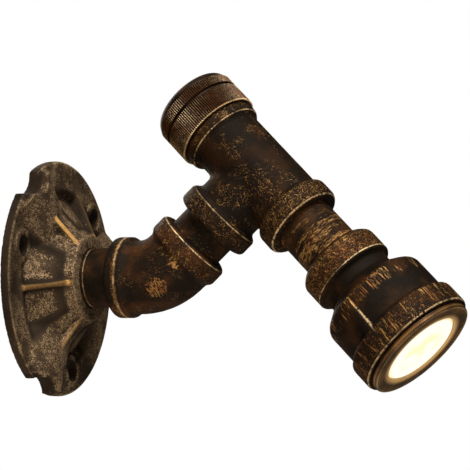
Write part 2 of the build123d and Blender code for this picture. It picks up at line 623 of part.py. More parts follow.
def tee_lead():
    """Last stretch of the supply lead, turning up into the driver."""
    turn_at = TEE_CENTRE - ARM * TEE_LEAD_OFFSET
    points = [
        TEE_CENTRE - ARM * (BRANCH_PIPE_STOP - SEAT_GAP), turn_at,
        turn_at - HEAD * (DRIVER_START + LEAD_IN_DRIVER)]
    return swept_lead(points, TEE_LEAD_BEND, SUPPLY_LEAD_R)


def led_lead():
    """Lead from the driver straight down the head to the LED board."""
    return HEAD_FRAME * Pos(0, LED_LEAD_OFFSET, 0) * rod(
        LED_LEAD_R, -DRIVER_START - LEAD_IN_DRIVER, BOARD_FRONT)


# ---------------------------------------------------------------- write every node
earth_terminal, earth_screw, earth_wire = earth_parts()
NODES = {
    "wall_flange": wall_flange(),
    "wall_nipple": wall_nipple(),
    "supply_connector": supply_connector(),
    "wall_lead": wall_lead(),
    "earth_terminal": earth_terminal,
    "earth_screw": earth_screw,
    "earth_wire": earth_wire,
    "elbow": elbow(),
    "arm_nipple": arm_nipple(),
    "arm_lead": arm_lead(),
    "tee": tee(),
    "cap_gasket": cap_gasket(),
    "end_cap": end_cap(),
    "driver_case": driver_case(),
    "driver_board": driver_board(),
    "tee_lead": tee_lead(),
    "led_lead": led_lead(),
    "head_nipple": head_nipple(),
    "reducer_bell": reducer_bell(),
    "heat_spreader": heat_spreader(),
    "thermal_pad": thermal_pad(),
    "led_board": led_board(),
    "led_emitter": led_emitter(),
    "board_screws": board_screws(),
    "reflector": reflector(),
    "lens_gasket": lens_gasket(),
    "lens": lens(),
    "bezel_ring": bezel_ring(),
}
for name, shape in NODES.items():
    export_step(shape, f"parts/{name}.step")
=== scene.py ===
"""Industrial pipe wall light: castings, finishes, studio and camera."""
import functools
import json
import math
from typing import NamedTuple

import bmesh
import bpy
import numpy as np
from mathutils import Matrix, Vector

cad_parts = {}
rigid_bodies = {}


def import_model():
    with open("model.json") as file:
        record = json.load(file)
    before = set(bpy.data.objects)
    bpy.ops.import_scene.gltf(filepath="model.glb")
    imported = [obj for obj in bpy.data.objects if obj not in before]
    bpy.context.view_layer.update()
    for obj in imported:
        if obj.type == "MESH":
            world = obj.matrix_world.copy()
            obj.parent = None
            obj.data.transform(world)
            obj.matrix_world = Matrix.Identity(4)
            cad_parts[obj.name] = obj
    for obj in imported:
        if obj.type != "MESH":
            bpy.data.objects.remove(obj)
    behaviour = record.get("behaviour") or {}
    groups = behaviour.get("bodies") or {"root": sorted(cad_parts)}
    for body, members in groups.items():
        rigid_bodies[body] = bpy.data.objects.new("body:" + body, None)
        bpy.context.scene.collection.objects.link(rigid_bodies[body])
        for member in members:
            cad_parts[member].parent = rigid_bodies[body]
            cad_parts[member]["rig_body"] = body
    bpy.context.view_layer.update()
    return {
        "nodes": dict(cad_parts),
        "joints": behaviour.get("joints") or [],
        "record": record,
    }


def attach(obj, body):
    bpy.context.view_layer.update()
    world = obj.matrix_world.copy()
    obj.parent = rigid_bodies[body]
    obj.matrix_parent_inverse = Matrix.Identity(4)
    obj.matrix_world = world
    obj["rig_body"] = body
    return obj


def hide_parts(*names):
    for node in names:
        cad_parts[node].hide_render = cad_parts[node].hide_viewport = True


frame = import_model()
scene = bpy.context.scene

MM = 0.001
joints = {joint["name"]: joint for joint in frame["joints"]}
mounts = {mount["name"]: mount for mount in frame["record"]["mounts"]}

# Where the pipes cross, and the ways they run
WALL = Vector((0, 0, 0))
ELBOW = Vector(joints["arm_swivel"]["pos_m"])
TEE = Vector(joints["head_swivel"]["pos_m"])
OUT = Vector(joints["arm_swivel"]["axis"])
ARM = Vector(joints["head_swivel"]["axis"])
HEAD = Vector(joints["bezel_travel"]["axis"])
TO_WALL = OUT * -1
TO_ELBOW = ARM * -1
UP_RUN = HEAD * -1
SIDEWAYS = Vector((1, 0, 0))

# Linear colours of the bronze
NEAR_BLACK = (0.0058, 0.0038, 0.0023)
UMBER = (0.020, 0.0085, 0.0028)
COPPER = (0.24, 0.088, 0.022)
GOLD = (0.46, 0.27, 0.095)
SAND = (0.34, 0.245, 0.145)
# CREAM is rubbed metal, and also the painted highlight on the bell ribs' lit edge
CREAM = (0.80, 0.60, 0.34)
UNLIT = (0.0, 0.0, 0.0)


def scaled(colour, factor):
    """A colour made brighter or darker."""
    return tuple(channel * factor for channel in colour)


def rgba(value):
    """A colour as a shader socket takes it; any other value is left alone."""
    return (*value, 1.0) if isinstance(value, tuple) else value


def reach(node, origin, axis):
    """How far a CAD node's mesh goes along an axis through origin, in mm."""
    return max((vertex.co - origin).dot(axis) for vertex in frame["nodes"][node].data.vertices) / MM


# ---------------------------------------------------------------- marks on the surface
class Ring(NamedTuple):
    """The surface from start to end along an axis and beyond a least radius, in mm."""
    origin: Vector
    axis: Vector
    start: float
    end: float
    least: float
    strength: float


class Streak(NamedTuple):
    """Brush strokes over a ring: the ways they are drawn out, and how fine they are."""
    ring: Ring
    stretch: tuple
    scale: float


class Rub(NamedTuple):
    """A patch rubbed bright round a point, to a reach in mm."""
    middle: Vector
    reach: float
    stretch: tuple


class RibHighlight(NamedTuple):
    """A painted highlight on the lit edge of a low rib along the pipe: angle round it, offset to the side, in
    mm.
    """
    angle: float
    offset: float
    start: float
    end: float
    least: float


class Spoke(NamedTuple):
    """A rib's crest in rubbed gold and painted highlight, climbing from foot to head, both (radius, height)
    in mm.
    """
    angle: float
    foot: tuple
    head: tuple
    strength: float


class End:
    """One end of a fitting, with the radius of the band round it."""

    def __init__(self, node, origin, axis, radius):
        self.origin = origin
        self.axis = axis
        self.radius = radius
        self.at = reach(node, origin, axis)

    def ring(self, far, near, depth, strength):
        """The surface between two distances back from the end, down to a depth in its band."""
        return Ring(self.origin, self.axis, self.at - far, self.at - near, self.radius - depth, strength)


# ---------------------------------------------------------------- shader maths
class Socket:
    """A node socket that adds Math nodes when it is used in an expression."""

    def __init__(self, maker, socket):
        self.maker = maker
        self.socket = socket

    def math(self, operation, *others):
        """One Math node on this value and others."""
        inputs = dict(enumerate((self,) + others))
        return self.maker.node("ShaderNodeMath", {"operation": operation}, inputs)

    def __add__(self, other):
        return self.math("ADD", other)

    def __sub__(self, other):
        return self.math("SUBTRACT", other)

    def __mul__(self, other):
        return self.math("MULTIPLY", other)

    def __rsub__(self, other):
        return self.maker.node("ShaderNodeMath", {"operation": "SUBTRACT"}, {0: other, 1: self})

    __radd__ = __add__
    __rmul__ = __mul__

    def abs(self):
        """The size of the value without its sign."""
        return self.math("ABSOLUTE")

    def max(self, other):
        """The larger of two values."""
        return self.math("MAXIMUM", other)

    def min(self, other):
        """The smaller of two values."""
        return self.math("MINIMUM", other)

    def ramp(self, low, high):
        """0 below low, 1 above high, smooth between; low may be the larger."""
        inputs = {"Value": self, "From Min": low, "From Max": high}
        if low > high:
            inputs = {"Value": self, "From Min": high, "From Max": low, "To Min": 1.0, "To Max": 0.0}
        return self.maker.node("ShaderNodeMapRange", {"interpolation_type": "SMOOTHSTEP"}, inputs)

    def line(self, at, width):
        """1 at a value, fading to 0 over width on both sides."""
        return (self - at).abs().ramp(width, 0.0)


def highest(masks):
    """The greatest of several masks at each place, or 0 where there are none."""
    return functools.reduce(Socket.max, masks) if masks else 0.0


class Finish:
    """One procedural material on Object coordinates, measured in mm along a pipe's axis."""

    def __init__(self, name, origin=WALL, axis=OUT):
        self.material = bpy.data.materials.new(name)
        self.material.use_nodes = True
        self.nodes = self.material.node_tree.nodes
        self.links = self.material.node_tree.links
        self.shader = self.nodes["Principled BSDF"]
        self.here = self.node("ShaderNodeTexCoord", output="Object")
        moved = self.vector("SUBTRACT", {0: self.here, 1: origin})
        turn = Matrix((SIDEWAYS, axis.cross(SIDEWAYS), axis)).to_euler()
        turned = self.node("ShaderNodeVectorRotate", {"rotation_type": "EULER_XYZ"}, {
            "Vector": moved, "Rotation": turn})
        self.place = self.vector("SCALE", {0: turned, "Scale": 1 / MM})
        self.x, self.across, self.along = (
            self.node("ShaderNodeSeparateXYZ", None, {0: self.place}, i) for i in range(3))
        self.radius = (self.x * self.x + self.across * self.across).math("SQRT")

    def node(self, kind, settings=None, inputs=None, output=0):
        """Adds a node, sets it up, feeds its sockets and returns one output."""
        new = self.nodes.new(kind)
        for key, value in (settings or {}).items():
            setattr(new, key, value)
        for key, value in (inputs or {}).items():
            self.feed(new.inputs[key], value)
        return Socket(self, new.outputs[output])

    def feed(self, socket, value):
        """Links a Socket to a node's socket, or sets a number, vector or colour on it."""
        if isinstance(value, Socket):
            self.links.new(value.socket, socket)
        else:
            socket.default_value = value

    def vector(self, operation, inputs, output=0):
        """One step of vector maths."""
        return self.node("ShaderNodeVectorMath", {"operation": operation}, inputs, output)

    def distance(self, point):
        """Distance from a point of the rest pose, in mm."""
        return self.vector("DISTANCE", {0: self.here, 1: point}, 1) * (1 / MM)

    def ring(self, ring, soft=0.3):
        """1 on a ring of the surface, fading over a soft width in mm at its two ends."""
        offset = self.vector("SCALE", {0: self.vector("SUBTRACT", {0: self.here, 1: ring.origin}),
                                       "Scale": 1 / MM})
        along = self.vector("DOT_PRODUCT", {0: offset, 1: ring.axis}, 1)
        away = self.vector("LENGTH", {0: offset}, 1)
        radius = (away * away - along * along).max(0.0).math("SQRT")
        start, end = ring.start, ring.end
        within = along.ramp(start - soft, start + soft) * along.ramp(end + soft, end - soft)
        return within * radius.ramp(ring.least - 0.25, ring.least + 0.15)

    def rings(self, rings):
        """Several rings, each as strong as it is stated."""
        return highest([self.ring(ring) * ring.strength for ring in rings])

    def turned_axes(self, angle):
        """Distance out from the pipe's axis at an angle round it, and to the side of that."""
        turn = math.radians(angle)
        out = self.x * math.cos(turn) + self.across * math.sin(turn)
        side = self.across * math.cos(turn) - self.x * math.sin(turn)
        return out, side

    def noise(self, stretch=(1, 1, 1), scale=1.0, detail=3.0, rough=0.55, shift=0.0):
        """Noise about 1 mm across at scale 1, stretched in the pipe's own frame."""
        place = self.vector("MULTIPLY_ADD", {0: self.place, 1: stretch, 2: (shift, shift, shift)})
        return self.node("ShaderNodeTexNoise", None, {
            "Vector": place, "Scale": scale, "Detail": detail, "Roughness": rough})

    def mesh_value(self, name):
        """A value stored on the recast mesh: "edge" or "relief"."""
        return self.node("ShaderNodeAttribute", {"attribute_name": name}, output="Fac")

    def blend(self, factor, first, second):
        """Colour mix; first and second are colours or sockets."""
        settings = {"data_type": "RGBA", "clamp_factor": True}
        return self.node("ShaderNodeMix", settings, {0: factor, 6: rgba(first), 7: rgba(second)}, 2)

    def set(self, **values):
        """Feeds the shader: a Socket is linked, a number or colour is set."""
        for key, value in values.items():
            self.feed(self.shader.inputs[key.replace("_", " ")], rgba(value))
        return self.material

    def bump(self, height, strength, distance):
        """Normal from a height socket; distance in mm."""
        return self.node("ShaderNodeBump", None, {
            "Strength": strength, "Distance": distance * MM, "Height": height})


# ---------------------------------------------------------------- aged bronze
class AgedBronze(Finish):
    """The noises and wear marks that every bronze fitting and pipe shares."""

    def __init__(self, name, origin, axis, grain):
        super().__init__(name, origin, axis)
        self.relief = self.mesh_value("relief")
        self.patches = self.noise(scale=0.13, shift=31.0)
        self.grit = self.noise(scale=grain, rough=0.65, shift=3.0)
        self.clump = self.noise(scale=0.75, detail=2.0, shift=13.0)
        self.broken = self.noise(scale=1.2, shift=23.0)

    def brushing(self, speckle, even, banded, left_plain):
        """How much the brush left: more on crests and bands, none in hollows or where left plain."""
        crests = self.relief.ramp(0.15, 1.0) * 0.35
        patchy = self.patches.ramp(0.40 - even, 0.64 - even) * speckle
        on_bands = banded * (self.patches.ramp(0.34, 0.56) * 0.35 + 0.65)
        return (patchy + crests).max(on_bands) - self.relief.ramp(-0.1, -0.7) * 0.8 - left_plain

    def specks(self, amount):
        """Dry-brushed specks, denser where the amount is greater."""
        seed = self.grit + self.clump * 0.3 + amount.min(1.1) * 0.15
        return seed.ramp(0.795, 0.85) * amount.ramp(0.0, 0.3)

    def streak(self, streak):
        """Ragged brush strokes over a ring."""
        lay = self.noise(stretch=streak.stretch, scale=streak.scale, detail=5.0, rough=0.7, shift=17.0)
        patch = self.noise(stretch=streak.stretch, scale=0.45, shift=51.0).ramp(0.30, 0.70)
        where = self.ring(streak.ring, 1.4)
        return (lay + where * patch * (streak.ring.strength * 0.17)).ramp(0.66, 0.76) * where

    def rub(self, rub):
        """A scratched bright patch round a point."""
        lay = self.noise(stretch=rub.stretch, scale=1.5, detail=4.0, rough=0.65, shift=57.0)
        near = self.distance(rub.middle).ramp(rub.reach, rub.reach * 0.3)
        return (lay + near * 0.13).ramp(0.59, 0.68) * near.ramp(0.0, 0.5)

    def worn_edges(self, strength):
        """Bright wear on the sharp outer edges of a casting."""
        return self.mesh_value("edge").ramp(0.45, 1.0) * self.broken.ramp(0.42, 0.62) * strength

    def line(self, ring):
        """A thin rubbed line round a fitting, broken and fading here and there."""
        fade = self.patches.ramp(0.38, 0.56) * 0.8 + 0.2
        return self.ring(ring, 0.10) * self.broken.ramp(0.36, 0.54) * fade * ring.strength

    def rib(self, rib):
        """A thin painted highlight on the lit edge of a rib along the pipe."""
        out, side = self.turned_axes(rib.angle)
        length = self.along.ramp(rib.start, rib.start + 1.5) * self.along.ramp(rib.end, rib.end - 6.0)
        proud = self.radius.ramp(rib.least - 0.2, rib.least)
        thin = side.line(rib.offset, 0.40) * out.ramp(0.0, 1.0) * length * proud
        return thin * self.broken.ramp(0.36, 0.56) * 0.8

    def spoke(self, spoke):
        """The crest of a rib that climbs towards the pipe's axis, in rubbed gold with a painted highlight."""
        out, side = self.turned_axes(spoke.angle)
        (foot_out, foot_up), (head_out, head_up) = spoke.foot, spoke.head
        slope = (head_up - foot_up) / (head_out - foot_out)
        above = self.along - ((out - foot_out) * slope + foot_up)
        length = out.ramp(head_out - 0.5, head_out + 1.0) * out.ramp(foot_out + 0.4, foot_out - 0.4)
        crest = side.abs().ramp(1.35, 0.8) * above.ramp(-0.9, -0.3) * length
        return crest * (self.broken.ramp(0.30, 0.55) * 0.6 + 0.4) * spoke.strength


def aged_bronze(name, origin, axis, base=NEAR_BLACK, bloom=UMBER, specks=GOLD, speckle=0.4, even=0.0,
                grain=2.8, copper=0.5, edges=1.0, shade=None, hollows=None, bands=(), lines=(), left_plain=(),
                streaks=(), rubs=(), ribs=(), spokes=()):
    """Near-black bronze with umber bloom, dry-brushed metal specks and rubbed edges.

    base, bloom and specks are its colours. speckle is how much of it is brushed, even how little
    that varies from patch to patch, grain how fine the specks are, and copper how many of them
    are copper. edges is the wear on sharp edges. shade is painted shade that darkens it between two
    places sideways, and hollows is a function that gives the mask of its hollows, which are brushed
    less and darkened with painted shade. bands are brushed more, left_plain isn't brushed, and the
    other marks are those of AgedBronze.
    """
    finish = AgedBronze(name, origin, axis, grain)
    banded = finish.rings(bands)
    hollow = hollows(finish) if hollows else 0.0
    amount = finish.brushing(speckle, even, banded, finish.rings(left_plain)) - hollow
    strokes = [finish.streak(streak) for streak in streaks]
    rubbed = [finish.rub(rub) for rub in rubs]
    brushed = highest([finish.specks(amount)] + strokes + rubbed).min(1.0)
    rims = [finish.line(line) for line in lines]
    # edge holds rubbed wear on edges and rims, and the ribs' painted highlights
    edge = highest([finish.worn_edges(edges)] + rims + [finish.rib(rib) for rib in ribs]).min(1.0)

    tint = finish.noise(scale=0.10, shift=7.0)
    colour = finish.blend(tint.ramp(0.44, 0.66).max(banded * 0.8), base, bloom)
    colour = finish.blend(finish.grit.ramp(0.46, 0.66) * 0.5, colour, scaled(base, 3.0))
    # Painted shade in the hollows of the casting's relief
    colour = finish.blend(finish.relief.ramp(-0.10, -0.8) * 0.85, colour, scaled(base, 0.25))
    warm = finish.noise(scale=0.14, detail=2.0, shift=71.0).ramp(0.40, 0.62) * copper
    colour = finish.blend(brushed, colour, finish.blend(warm, specks, COPPER))
    # Spoke crests: rubbed gold with a painted highlight
    for spoke in spokes:
        colour = finish.blend(finish.spoke(spoke), colour, scaled(GOLD, 1.25))
    colour = finish.blend(edge * 0.85, colour, CREAM)
    # Painted shade in the hollows that the mask gives
    if hollows:
        colour = finish.blend(hollow * 0.75, colour, scaled(base, 0.3))
    # Painted shade towards one side, standing in for the rim turning away from the light
    if shade:
        colour = finish.blend(finish.x.ramp(*shade) * 0.65, colour, scaled(base, 0.3))
    gilt = brushed.max(edge)
    return finish.set(
        Base_Color=colour, Metallic=gilt * 0.4, Roughness=0.60 - gilt * 0.18,
        Specular_IOR_Level=0.09, Normal=finish.bump(finish.grit + finish.broken * 0.8, 0.8, 0.22))


# ---------------------------------------------------------------- castings
def recast(node, finish, voxel=0.36, rounding=3, lumps=0.10, shape=None):
    """A casting's softened, sand-textured copy of its CAD node, with worn edges marked."""
    source = frame["nodes"][node]
    mesh = source.data.copy()
    shell = bmesh.new()
    shell.from_mesh(mesh)
    bmesh.ops.remove_doubles(shell, verts=shell.verts, dist=0.004 * MM)
    shell.to_mesh(mesh)
    shell.free()
    piece = bpy.data.objects.new(node + "_casting", mesh)
    scene.collection.objects.link(piece)
    skin = piece.modifiers.new("skin", "REMESH")
    skin.mode = "VOXEL"
    skin.voxel_size = voxel * MM
    skin.use_smooth_shade = True
    soften = piece.modifiers.new("soften", "SMOOTH")
    soften.factor = 0.5
    soften.iterations = rounding
    grains = bpy.data.textures.new(node + "_sand", "CLOUDS")
    grains.noise_scale = 2.6 * MM
    grains.noise_depth = 2
    sand = piece.modifiers.new("sand", "DISPLACE")
    sand.texture = grains
    sand.texture_coords = "LOCAL"
    sand.strength = lumps * MM
    sand.mid_level = 0.75
    view = bpy.context.evaluated_depsgraph_get()
    piece.data = bpy.data.meshes.new_from_object(piece.evaluated_get(view))
    piece.modifiers.clear()
    if shape:
        places = vertex_places(piece.data)
        shape(places)
        piece.data.vertices.foreach_set("co", places.ravel())
        piece.data.update()
    mark_relief(piece.data, voxel * MM)
    piece.data.materials.clear()
    piece.data.materials.append(finish)
    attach(piece, source["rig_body"])
    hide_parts(node)


def vertex_places(mesh):
    """Every vertex's place, one to a row, in metres."""
    places = np.empty(len(mesh.vertices) * 3)
    mesh.vertices.foreach_get("co", places)
    return places.reshape(-1, 3)


def mark_relief(mesh, spacing):
    """Vertex values: edge is 1 on a sharp outer edge, relief runs from -1 in hollows to 1 on crests."""
    count = len(mesh.vertices)
    places = vertex_places(mesh)
    normals = np.empty(count * 3)
    mesh.vertex_normals.foreach_get("vector", normals)
    normals = normals.reshape(-1, 3)
    ends = np.empty(len(mesh.edges) * 2, dtype=np.int64)
    mesh.edges.foreach_get("vertices", ends)
    first, last = ends.reshape(-1, 2).T
    whole = np.concatenate((first, last))
    other = np.concatenate((last, first))
    neighbours = np.bincount(whole, minlength=count)

    def spread(values):
        """Each vertex's mean over its neighbours."""
        columns = [np.bincount(whole, weights=column[other], minlength=count) for column in values.T]
        return np.stack(columns, axis=1) / neighbours[:, None]

    bend = ((places - spread(places)) * normals).sum(axis=1, keepdims=True) / spacing ** 2 * MM
    for _ in range(2):
        bend = bend * 0.5 + spread(bend) * 0.5
    broad = places
    for _ in range(36):
        broad = broad * 0.4 + spread(broad) * 0.6
    rise = ((places - broad) * normals).sum(axis=1) / (0.9 * MM)
    values = {"edge": np.clip(bend.ravel() / 0.55, 0.0, 1.0), "relief": np.clip(rise, -1.0, 1.0)}
    for name, value in values.items():
        mesh.attributes.new(name, "FLOAT", "POINT").data.foreach_set("value", value.astype(np.float32))


# ---------------------------------------------------------------- wall flange
# In mm and degrees; angles go round the boss from +X towards +Z
ARMS = 3
ARM_STEP = 360 / ARMS
FIRST_ARM = 16.5
FIRST_SCREW = 51.0
SCREW_CIRCLE_R = mounts["wall_screws"]["dims"]["pcd_mm"] / 2
SCREW_HOLE_R = mounts["wall_screws"]["dims"]["hole_r_mm"]
HOLE_ROUNDING = 0.4
NOTCH_CENTRE_R = 46.9
NOTCH_R = 8.5
FLANGE_R = reach("wall_flange", WALL, SIDEWAYS)
RIM_HEIGHT = 3.5
BOSS_R = 15.7
POCKET_R = 25.0
POCKET_ANGLE = 43.0
POCKET_HALF_DEPTH = 7.0
POCKET_HALF_ANGLE = 17.0
POCKET_SINK = 1.1
BACK_RECESS_R = 24.0
CREST_FOOT = (27.0, 8.6)
RIB_FOOT = (33.0, 4.4)
HUB_EDGE = (BOSS_R, 14.2)
# Counted round from the first arm; these two face the light and get a painted highlight over their rubbed
# gold
RUBBED_AND_LIT = (2, 3)


def around(radius, angle):
    """A point on the wall plane, from a radius in mm and an angle in degrees."""
    turn = math.radians(angle)
    return Vector((radius * math.cos(turn), 0.0, radius * math.sin(turn))) * MM


def flange_shaded_hollows(finish):
    """1 along the foot of the hub, ribs and arms, in the notches and holes, 0 in mid pocket: where the flange
    is brushed less and darkened with painted shade.
    """
    radius, height = finish.radius, finish.along
    angle = finish.across.math("ARCTAN2", finish.x) * math.degrees(1)
    from_arm = (angle - FIRST_ARM).math("PINGPONG", ARM_STEP / 2)
    middle = ((from_arm - POCKET_ANGLE).abs().ramp(POCKET_HALF_ANGLE, 8.0)
              * (radius - POCKET_R).abs().ramp(POCKET_HALF_DEPTH + 0.5, 4.0))
    pocket = from_arm.ramp(20.0, 26.0) * radius.ramp(16.5, 18.0) * radius.ramp(34.0, 31.6)
    hollow = pocket * (1.0 - middle)
    for i in range(ARMS):
        from_notch = finish.distance(around(NOTCH_CENTRE_R, FIRST_ARM + ARM_STEP * i))
        from_hole = finish.distance(around(SCREW_CIRCLE_R, FIRST_SCREW + ARM_STEP * i))
        hollow = hollow.max(from_notch.ramp(NOTCH_R + 4.0, NOTCH_R + 2.5) * height.ramp(6.2, 4.5))
        hollow = hollow.max(from_hole.ramp(SCREW_HOLE_R + 1.75, SCREW_HOLE_R + 0.75) * height.ramp(4.5, 4.2))
    return hollow


def shape_flange(places):
    """Hollows the flange's six half pockets a little deeper and rounds in its screw holes."""
    x, height, z = places[:, 0] / MM, -places[:, 1] / MM, places[:, 2] / MM
    radius = np.hypot(x, z)
    turn = (np.degrees(np.arctan2(z, x)) - FIRST_ARM) % ARM_STEP
    from_arm = np.minimum(turn, ARM_STEP - turn)
    mid_angle = np.clip(1 - ((from_arm - POCKET_ANGLE) / POCKET_HALF_ANGLE) ** 2, 0, 1)
    mid_radius = np.clip(1 - ((radius - POCKET_R) / POCKET_HALF_DEPTH) ** 2, 0, 1)
    back = np.clip(1 + (BACK_RECESS_R - radius) * 0.48, 1, 5)
    front = np.clip((height - back - 0.6) / 0.8, 0, 1)
    places[:, 1] += (mid_angle * mid_radius) ** 0.7 * front * POCKET_SINK * MM
    for i in range(ARMS):
        middle = around(SCREW_CIRCLE_R, FIRST_SCREW + ARM_STEP * i) / MM
        off_x, off_z = x - middle.x, z - middle.z
        away = np.hypot(off_x, off_z)
        draw = np.where(away < SCREW_HOLE_R + 0.45, HOLE_ROUNDING / np.maximum(away, 1.0), 0.0) * MM
        places[:, 0] -= off_x * draw
        places[:, 2] -= off_z * draw


def flange_spokes():
    """The three arms' crests and the three thin ribs between them, in rubbed gold, with a painted highlight
    on the two that face the light.
    """
    for i in range(ARMS * 2):
        foot = RIB_FOOT if i % 2 else CREST_FOOT
        yield Spoke(FIRST_ARM + ARM_STEP / 2 * i, foot, HUB_EDGE, 1.0 if i in RUBBED_AND_LIT else 0.4)


boss = End("wall_flange", WALL, OUT, BOSS_R)
flange_finish = aged_bronze(
    "flange_bronze", WALL, OUT, base=(0.034, 0.0235, 0.0155), bloom=(0.068, 0.048, 0.031),
    specks=scaled(SAND, 1.1), speckle=1.0, even=0.09, grain=2.5, copper=0.0,
    # shade paints shade over one side of the rim; hollows paints shade in the hollows
    shade=(-29.0, -38.0), hollows=flange_shaded_hollows,
    bands=[boss.ring(0.8, -0.2, 2.1, 0.9)],
    lines=[Ring(WALL, OUT, RIM_HEIGHT - 0.5, RIM_HEIGHT - 0.1, FLANGE_R - 0.8, 0.35)],
    left_plain=[Ring(WALL, OUT, -1.0, RIM_HEIGHT - 0.8, FLANGE_R - 1.0, 2.0)],
    spokes=flange_spokes())
recast("wall_flange", flange_finish, voxel=0.44, shape=shape_flange)


# ---------------------------------------------------------------- elbow, tee and reducer
# Ways that brush strokes are drawn out
ALONG_PIPE = (1.0, 1.0, 0.10)
ROUND_PIPE = (0.12, 0.12, 1.0)
# In mm and degrees
ELBOW_BAND_R = 14.5
TEE_BAND_R = 14.7
COLLAR_R = 15.2
MOUTH_R = 21.85
BELL_RIB_R = 19.6
BELL_RIB_ANGLE = 18.0
# Offset to the bell rib's lit side, where its highlight is painted
BELL_RIB_EDGE = -1.9
BELL_RIB_LENGTH = 16.5
BELL_RIB_BACK = 5.6
BELLY_RUB = Rub(Vector((-0.0114, -0.0456, -0.0068)), 6.0, (0.5, 0.5, 1.6))
ARM_BAND_RUB = Rub(Vector((-0.0105, -0.0522, 0.0032)), 4.4, (1.0, 1.0, 0.35))

elbow_back = End("elbow", ELBOW, TO_WALL, ELBOW_BAND_R)
elbow_front = End("elbow", ELBOW, ARM, ELBOW_BAND_R)
elbow_finish = aged_bronze(
    "elbow_bronze", ELBOW, ARM, base=(0.0085, 0.0056, 0.0036), bloom=(0.052, 0.0205, 0.0068),
    speckle=0.3, copper=0.8, rubs=[BELLY_RUB, ARM_BAND_RUB],
    bands=[elbow_front.ring(7.2, 1.2, 0.5, 0.35), elbow_back.ring(5.4, 3.4, 0.3, 0.6)],
    lines=[elbow_front.ring(0.9, 0.55, 1.0, 1.1), elbow_back.ring(5.0, 4.2, 0.3, 0.6)])
recast("elbow", elbow_finish)

tee_head = End("tee", TEE, HEAD, TEE_BAND_R)
tee_cap = End("tee", TEE, UP_RUN, TEE_BAND_R)
tee_branch = End("tee", TEE, TO_ELBOW, TEE_BAND_R)
tee_finish = aged_bronze(
    "tee_bronze", TEE, HEAD, speckle=0.4, copper=0.25, grain=3.1,
    bands=[tee_head.ring(7.9, 1.0, 0.5, 0.5), tee_cap.ring(4.7, 1.9, 0.8, 0.2),
           tee_branch.ring(7.1, 1.4, 0.6, 0.3)],
    lines=[tee_head.ring(0.85, 0.45, 1.1, 1.3), tee_cap.ring(5.15, 4.85, 0.7, 1.0),
           tee_branch.ring(7.1, 6.8, 0.7, 0.8)])
recast("tee", tee_finish, voxel=0.40)

collar = End("reducer_bell", TEE, UP_RUN, COLLAR_R)
mouth = End("reducer_bell", TEE, HEAD, MOUTH_R)
rib_end = mouth.at - BELL_RIB_BACK
bell_rib_highlights = [RibHighlight(angle, BELL_RIB_EDGE, rib_end - BELL_RIB_LENGTH, rib_end, BELL_RIB_R)
             for angle in (BELL_RIB_ANGLE, BELL_RIB_ANGLE + 180.0)]
reducer_finish = aged_bronze(
    "reducer_bronze", TEE, HEAD, bloom=(0.030, 0.0125, 0.0040), speckle=0.05, copper=0.8,
    bands=[collar.ring(9.1, 0.7, 0.5, 0.7), mouth.ring(8.6, 0.8, 0.55, 0.25)],
    lines=[collar.ring(9.7, 9.3, 0.6, 1.1), mouth.ring(0.7, 0.25, 0.85, 0.8)],
    streaks=[Streak(mouth.ring(24.1, 17.6, 4.85, 1.2), ALONG_PIPE, 2.2),
             Streak(mouth.ring(9.0, 0.8, 0.65, 1.1), ALONG_PIPE, 2.2)],
    ribs=bell_rib_highlights)
recast("reducer_bell", reducer_finish, voxel=0.42, rounding=2, lumps=0.06)


# ---------------------------------------------------------------- pieces that keep their CAD mesh
# In mm; places along the run are measured from the tee's middle
PIPE_WALL_R = 9.0
LONGEST_NIPPLE = 60.0
CAP_CREST_R = 15.7
CAP_ROUNDING = 3.4
CAP_REED_END = reach("end_cap", TEE, UP_RUN) - CAP_ROUNDING
CAP_LAP = 1.0
CAP_FOOT = tee_cap.at - CAP_LAP
BEZEL_FACE = reach("bezel_ring", TEE, HEAD)
BEZEL_RIM_R = 19.8
APERTURE_R = 14.4
LENS_EDGE_R = 14.6


def dress(node, finish):
    """Gives a CAD node its one finish."""
    slots = frame["nodes"][node].data.materials
    slots.clear()
    slots.append(finish)


def nipple_bronze(name, origin, axis, strength, lines=()):
    """Dark bronze pipe with thin strokes of gold round it."""
    pipe = Ring(origin, axis, 0.0, LONGEST_NIPPLE, PIPE_WALL_R, strength)
    return aged_bronze(name, origin, axis, bloom=(0.038, 0.0165, 0.0056), speckle=0.0, copper=0.6,
                       edges=0.0, streaks=[Streak(pipe, ROUND_PIPE, 4.2)], lines=lines)


def cap_bronze():
    """Reeded cap: rubbed crests, near black between the reeds with painted shade in the grooves, coppery
    towards the crown.
    """
    finish = Finish("cap_bronze", TEE, UP_RUN)
    radius, along = finish.radius, finish.along
    crest = radius.ramp(CAP_CREST_R - 0.1, CAP_CREST_R) * along.ramp(CAP_REED_END + 0.5, CAP_REED_END - 0.1)
    valley = radius.ramp(CAP_CREST_R - 0.14, CAP_CREST_R - 0.28) * radius.ramp(15.2, 15.3)
    rim = along.ramp(CAP_FOOT + 0.4, CAP_FOOT + 0.25) * radius.ramp(15.0, 15.3)
    patch = finish.noise(scale=0.11, shift=4.0)
    fleck = finish.noise(scale=2.4, shift=5.0)
    colour = finish.blend(patch.ramp(0.40, 0.66), NEAR_BLACK, (0.030, 0.0125, 0.0040))
    colour = finish.blend(fleck.ramp(0.54, 0.66) * patch.ramp(0.36, 0.60) * 0.3, colour, COPPER)
    # Painted shade in the grooves between the reeds
    colour = finish.blend(valley * 0.85, colour, scaled(NEAR_BLACK, 0.3))
    colour = finish.blend(crest * (fleck.ramp(0.42, 0.62) * 0.4 + 0.1), colour, COPPER)
    colour = finish.blend(crest * patch.ramp(0.62, 0.40) * fleck.ramp(0.40, 0.54) * 0.5, colour, CREAM)
    worn = rim * fleck.ramp(0.36, 0.5) * (patch.ramp(0.36, 0.5) * 0.6 + 0.2)
    colour = finish.blend(worn, colour, CREAM)
    return finish.set(Base_Color=colour, Metallic=crest * 0.3 + 0.1, Roughness=0.50,
                      Specular_IOR_Level=0.2, Normal=finish.bump(fleck, 0.35, 0.10))


